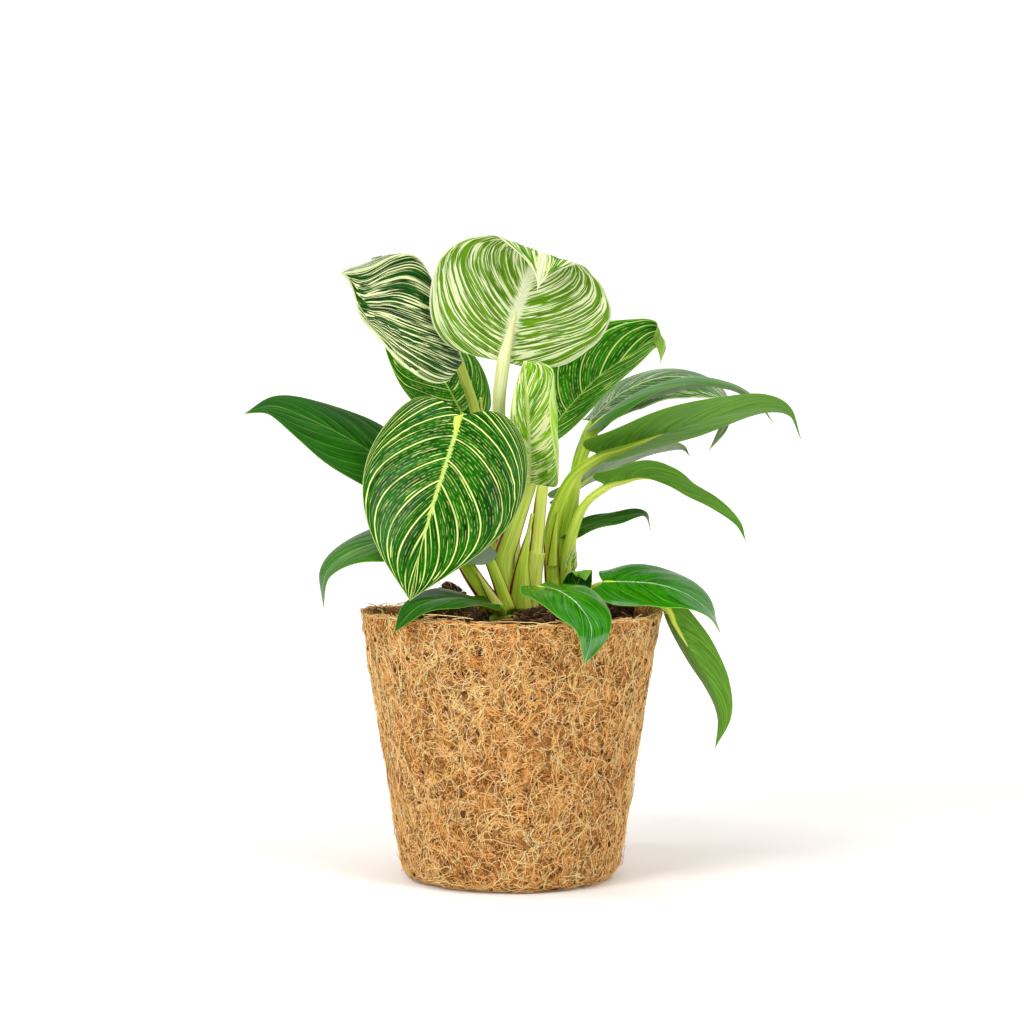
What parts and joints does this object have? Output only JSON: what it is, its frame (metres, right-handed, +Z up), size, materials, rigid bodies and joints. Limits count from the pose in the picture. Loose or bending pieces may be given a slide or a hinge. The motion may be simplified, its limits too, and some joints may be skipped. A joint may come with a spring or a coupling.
{
  "type": "potted plant",
  "caption": "Potted philodendron with broad heart-shaped leaves striped in cream, growing from a round tapered coir-fibre pot filled with soil",
  "frame": {"origin": "centre of the pot's underside", "axes": "+Z up, -Y towards the plant's front, +X to the right seen from the front"},
  "size_m": [0.2393, 0.1445, 0.2769],
  "materials": {
    "coir": "rough matted fibre",
    "soil": "matte, crumbly",
    "stem": "smooth, satin",
    "root": "matte",
    "striped_leaf": "waxy, striped in cream",
    "dark_leaf": "waxy, with pale veins"
  },
  "bodies": {
    "root": {"pot": "coir", "soil": "soil", "shoot_middle": "stem", "shoot_right": "stem", "shoot_low_right": "stem", "shoot_left": "stem", "aerial_root": "root", "leaf_top_middle": "striped_leaf", "leaf_top_left": "striped_leaf", "leaf_back_left": "dark_leaf", "leaf_front_left": "dark_leaf", "leaf_far_left": "dark_leaf", "leaf_low_left": "dark_leaf", "leaf_rim_left": "dark_leaf", "leaf_rim_front": "dark_leaf", "leaf_low_right": "dark_leaf", "leaf_hanging_right": "dark_leaf", "leaf_long_right": "dark_leaf", "leaf_upper_right": "dark_leaf", "leaf_high_right": "striped_leaf", "leaf_back_right": "dark_leaf", "leaf_unrolling": "striped_leaf", "leaf_middle_right": "dark_leaf", "leaf_small_right": "dark_leaf", "leaf_behind_right": "dark_leaf", "leaf_young_dark": "dark_leaf", "leaf_young_light": "striped_leaf"}
  },
  "joints": []
}
